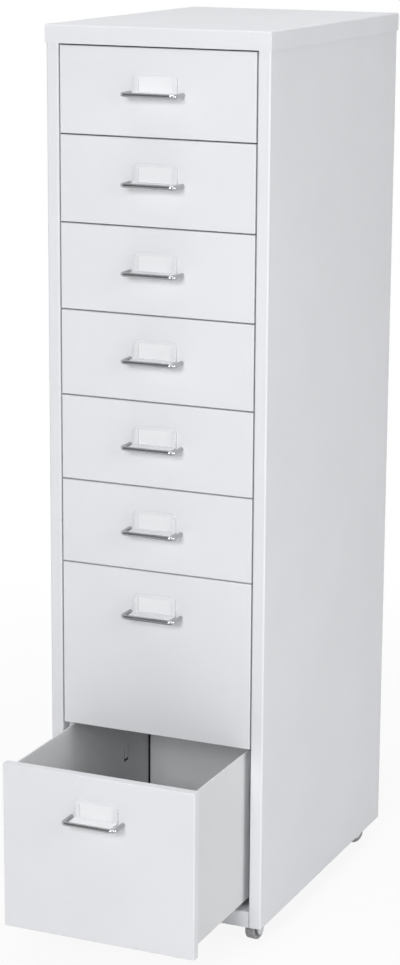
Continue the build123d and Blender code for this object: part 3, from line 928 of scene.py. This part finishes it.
class CABINET_OT_fasteners(CabinetOperator, bpy.types.Operator):
    """Set the pull nuts, back and runner rivets and caster screws"""

    bl_idname = "cabinet.fasteners"
    bl_label = "Fasteners"

    FRONT_WALL = 1.6 * MM  # sheets of the front and of the box, which the nuts clamp
    NUT_HEIGHT = 3.2 * MM
    WASHER = 9.0 * MM
    WASHER_SHEET = 0.8 * MM
    BACK_RIVET_HEIGHT = 1.1 * MM
    BACK_RIVET_INSET = 8.5 * MM  # side of the cabinet to the row of rivets
    BACK_RIVET_FOOT = 45.0 * MM
    BACK_RIVET_TOP = 50.0 * MM
    BACK_RIVET_COUNT = 8
    RUNNER_RIVET_HEIGHT = 1.3 * MM
    RUNNER_RIVET_INSET = 40.0 * MM  # ends of the runner to its outer rivets
    RUNNER_RIVET_RISE = 12.2 * MM  # floor of the box to the middle of the runner
    RUNNER_SHEET = 1.0 * MM
    SCREW_HEIGHT = 2.0 * MM
    SCREW_SLOT = 0.9 * MM
    SCREW_REACH = 10.6 * MM  # swivel axis to a screw, each way
    PLATE_SHEET = 2.0 * MM

    def execute(self, context):
        sizes = context.scene.cabinet_sizes
        finishes = mix_finishes()
        nuts, rivets, screws = nut_tree(), rivet_tree(), screw_tree()
        for number in DRAWERS:
            half, _, face, _, height = pull_place(number, sizes.wire)
            wall = face + self.FRONT_WALL
            spots = [((x, wall, height), (0.0, 1.0, 0.0)) for x in (-half, half)]
            name = f"drawer_{number}_pull_nuts"
            mesh = grow(
                nuts, seats(spots), name, Flats=sizes.nut, Height=self.NUT_HEIGHT,
                Washer=self.WASHER, Sheet=self.WASHER_SHEET, Finish=finishes["caster_steel"])
            place_piece(name, mesh, f"drawer_{number}", "caster_steel")
        mesh = grow(
            rivets, seats(self.back_spots()), "back_rivets", Head=sizes.rivet,
            Height=self.BACK_RIVET_HEIGHT, Finish=finishes["white_paint"])
        place_piece("back_rivets", mesh, "cabinet", "white_paint")
        mesh = grow(
            rivets, seats(self.runner_spots()), "runner_rivets", Head=sizes.rivet,
            Height=self.RUNNER_RIVET_HEIGHT, Finish=finishes["runner_steel"])
        place_piece("runner_rivets", mesh, "cabinet", "runner_steel")
        mesh = grow(
            screws, seats(self.plate_spots()), "caster_screws", Head=sizes.screw,
            Height=self.SCREW_HEIGHT, Slot=self.SCREW_SLOT, Finish=finishes["caster_steel"])
        place_piece("caster_screws", mesh, "cabinet", "caster_steel")
        return {"FINISHED"}

    def back_spots(self):
        """Rivets down both back flanges."""
        low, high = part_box("back_panel")
        _, side_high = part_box("side_panel_right")
        x = side_high.x - self.BACK_RIVET_INSET
        first, last = low.z + self.BACK_RIVET_FOOT, high.z - self.BACK_RIVET_TOP
        runs = self.BACK_RIVET_COUNT - 1
        levels = [first + (last - first) * step / runs for step in range(runs + 1)]
        return [((at, side_high.y, z), (0.0, 1.0, 0.0)) for at in (-x, x) for z in levels]

    def runner_spots(self):
        """Three rivets through the web of each runner."""
        low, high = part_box("runners_right")
        web = high.x - self.RUNNER_SHEET
        inset = self.RUNNER_RIVET_INSET
        depths = [low.y + inset, (low.y + high.y) / 2.0, high.y - inset]
        spots = []
        for number in DRAWERS:
            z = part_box(f"drawer_{number}_box")[0].z + self.RUNNER_RIVET_RISE
            for side in (-1.0, 1.0):
                spots += [((side * web, y, z), (-side, 0.0, 0.0)) for y in depths]
        return spots

    def plate_spots(self):
        """Four screws in each caster plate, heads down."""
        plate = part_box("caster_sockets")[1].z - self.PLATE_SHEET
        ways = (-self.SCREW_REACH, self.SCREW_REACH)
        spots = []
        for caster in CASTERS:
            x, y, _ = frame_joint(f"caster_{caster}_turn")["pos_m"]
            for dx in ways:
                spots += [((x + dx, y + dy, plate), (0.0, 0.0, -1.0)) for dy in ways]
        return spots


class CABINET_OT_studio(CabinetOperator, bpy.types.Operator):
    """Set up the pale floor, the soft light and the camera"""

    bl_idname = "cabinet.studio"
    bl_label = "Studio"

    # Name, place, width, height and power of each soft box, and whether bright surfaces show it
    SOFT_BOXES = (
        ("right soft box near", (1.9, -1.45, 1.3), 0.6, 1.5, "near_power", True),
        ("right soft box far", (2.35, -0.35, 0.85), 0.6, 1.4, "far_power", True),
        ("front soft box", (0.25, -4.45, 2.15), 1.7, 1.3, "front_power", True),
        ("top soft box", (0.1, -0.1, 3.8), 2.0, 1.8, "top_power", True),
        ("back soft box", (-2.3, 3.2, 1.2), 1.6, 1.4, "back_power", False),
    )
    LIT_SPOT = (0.0, 0.05, 0.55)  # what the soft boxes face
    WHITE = (1.0, 1.0, 1.0, 1.0)
    MATT = 0.9
    FLOOR_HALF_WIDTH = 9.0
    FLOOR_COLOUR = (0.86, 0.86, 0.86, 1.0)
    FLOOR_GLOW_SHARES = (0.9, 1.0)  # of plain white, near the cabinet and away from it
    FLOOR_GLOW_REACH = (0.5, 1.6)  # metres between which it changes
    CLOTH_COLOUR = (0.75, 0.75, 0.76, 1.0)
    CLOTH_SIDES = (-6.0, 3.0)
    CLOTH_RUN = (
        (-0.5, 0.004), (-4.2, 0.004), (-5.0, 0.3), (-5.2, 1.2), (-5.0, 3.0), (-4.2, 3.9),
        (-0.2, 3.9))
    SENSOR = 36.0
    VIEW_END = 60.0

    def execute(self, context):
        stage = context.scene.cabinet_stage
        self.lay_floor()
        self.fill_room(context.scene, stage.world_light)
        for name, place, width, height, power, shown in self.SOFT_BOXES:
            light = self.hang_light(name, place, width, height, getattr(stage, power))
            light.visible_glossy = shown
        self.hang_cloth()
        self.aim_camera(context.scene, stage)
        context.scene.view_settings.view_transform = "Standard"
        return {"FINISHED"}

    @staticmethod
    def seen_directly(tree):
        """One for rays from the camera and from bright or clear surfaces."""
        path = add(tree, "ShaderNodeLightPath")
        seen = path.outputs["Is Camera Ray"]
        for ray in ("Is Glossy Ray", "Is Transmission Ray"):
            seen = calc(tree, seen, path.outputs[ray], "MAXIMUM")
        return seen

    def lay_floor(self):
        """White floor that still takes a little of the cabinet's shadow."""
        material, tree, shader, place = new_finish(
            "studio white", Base_Color=self.FLOOR_COLOUR, Roughness=self.MATT,
            Specular_IOR_Level=0.0)
        glow = add(tree, "ShaderNodeEmission", {"Color": self.WHITE, "Strength": 1.0})
        length = add(tree, "ShaderNodeVectorMath", {0: place}, operation="LENGTH")
        distance = length.outputs["Value"]
        white = spread(tree, distance, *self.FLOOR_GLOW_SHARES, *self.FLOOR_GLOW_REACH)
        share = calc(tree, self.seen_directly(tree), white)
        mix = add(tree, "ShaderNodeMixShader", {0: share, 1: shader.outputs[0], 2: glow.outputs[0]})
        tree.links.new(mix.outputs[0], tree.nodes["Material Output"].inputs["Surface"])
        bm = bmesh.new()
        bmesh.ops.create_grid(bm, x_segments=1, y_segments=1, size=self.FLOOR_HALF_WIDTH)
        floor = stand("studio_floor", plain_mesh(bm, "studio_floor"))
        floor.data.materials.append(material)

    def fill_room(self, scene, strength):
        """Even room light with a white backdrop."""
        world = bpy.data.worlds.new("studio room")
        scene.world = world
        world.use_nodes = True
        tree = world.node_tree
        light = tree.nodes["Background"]
        light.inputs["Color"].default_value = self.WHITE
        light.inputs["Strength"].default_value = strength
        backdrop = add(tree, "ShaderNodeBackground", {"Color": self.WHITE, "Strength": 1.0})
        mix = add(tree, "ShaderNodeMixShader", {
            0: self.seen_directly(tree), 1: light.outputs[0], 2: backdrop.outputs[0]})
        tree.links.new(mix.outputs[0], tree.nodes["World Output"].inputs["Surface"])

    def hang_light(self, name, place, width, height, power):
        """Soft box that faces the cabinet."""
        lamp = bpy.data.lights.new(name, "AREA")
        lamp.shape = "RECTANGLE"
        lamp.size = width
        lamp.size_y = height
        lamp.energy = power
        light = stand(name, lamp)
        turn = (Vector(self.LIT_SPOT) - Vector(place)).to_track_quat("-Z", "Y")
        light.matrix_world = Matrix.Translation(place) @ turn.to_matrix().to_4x4()
        return light

    def hang_cloth(self):
        """Grey cloth in front, from the floor up and over, that only bright surfaces reflect."""
        bm = bmesh.new()
        left, right = (
            [bm.verts.new((x, y, z)) for y, z in self.CLOTH_RUN] for x in self.CLOTH_SIDES)
        for step in range(len(left) - 1):
            bm.faces.new([left[step], left[step + 1], right[step + 1], right[step]])
        cloth = stand("studio_cloth", plain_mesh(bm, "studio_cloth"))
        material, *_ = new_finish("grey cloth", Base_Color=self.CLOTH_COLOUR, Roughness=self.MATT)
        cloth.data.materials.append(material)
        cloth.visible_camera = False
        cloth.visible_diffuse = False
        cloth.visible_shadow = False
        cloth.visible_transmission = False

    def aim_camera(self, scene, stage):
        """Camera of the photograph."""
        lens = bpy.data.cameras.new("camera")
        lens.lens = stage.lens
        lens.sensor_width = self.SENSOR
        lens.clip_end = self.VIEW_END
        camera = stand("camera", lens)
        turn, tilt, roll = stage.azimuth, stage.elevation, stage.roll
        level = math.cos(tilt)
        ahead = Vector((-math.sin(turn) * level, math.cos(turn) * level, -math.sin(tilt)))
        right = Vector((math.cos(turn), math.sin(turn), 0.0))
        above = right.cross(ahead)
        rolled_right = math.cos(roll) * right + math.sin(roll) * above
        rolled_above = math.cos(roll) * above - math.sin(roll) * right
        axes = Matrix((rolled_right, rolled_above, -ahead)).transposed().to_4x4()
        camera.matrix_world = Matrix.Translation(stage.eye[:]) @ axes
        scene.camera = camera


STEPS = (
    CABINET_OT_carcass,
    CABINET_OT_runners,
    CABINET_OT_fronts,
    CABINET_OT_boxes,
    CABINET_OT_pulls,
    CABINET_OT_holders,
    CABINET_OT_casters,
    CABINET_OT_fasteners,
    CABINET_OT_studio,
)
GROUPS = {
    "cabinet_finish": CabinetFinish,
    "cabinet_sizes": CabinetSizes,
    "cabinet_stage": CabinetStage,
}


class CABINET_PT_sidebar(bpy.types.Panel):
    """Sizes, colours and steps of the cabinet"""

    bl_idname = "CABINET_PT_sidebar"
    bl_label = "Rolling drawer cabinet"
    bl_space_type = "VIEW_3D"
    bl_region_type = "UI"
    bl_category = "Cabinet"

    def draw(self, context):
        for name in GROUPS:
            group = getattr(context.scene, name)
            box = self.layout.box()
            for value in group.bl_rna.properties.keys():
                if value not in {"rna_type", "name"}:
                    box.prop(group, value)
        for step in STEPS:
            self.layout.operator(step.bl_idname)


def register():
    for name, group in GROUPS.items():
        bpy.utils.register_class(group)
        setattr(bpy.types.Scene, name, bpy.props.PointerProperty(type=group))
    for step in (*STEPS, CABINET_PT_sidebar):
        bpy.utils.register_class(step)


def unregister():
    for step in reversed((*STEPS, CABINET_PT_sidebar)):
        bpy.utils.unregister_class(step)
    for name, group in reversed(GROUPS.items()):
        delattr(bpy.types.Scene, name)
        bpy.utils.unregister_class(group)


def main():
    """Dresses the cabinet step by step."""
    register()
    bpy.ops.cabinet.carcass()
    bpy.ops.cabinet.runners()
    bpy.ops.cabinet.fronts()
    bpy.ops.cabinet.boxes()
    bpy.ops.cabinet.pulls()
    bpy.ops.cabinet.holders()
    bpy.ops.cabinet.casters()
    bpy.ops.cabinet.fasteners()
    bpy.ops.cabinet.studio()


if __name__ == "__main__":
    main()
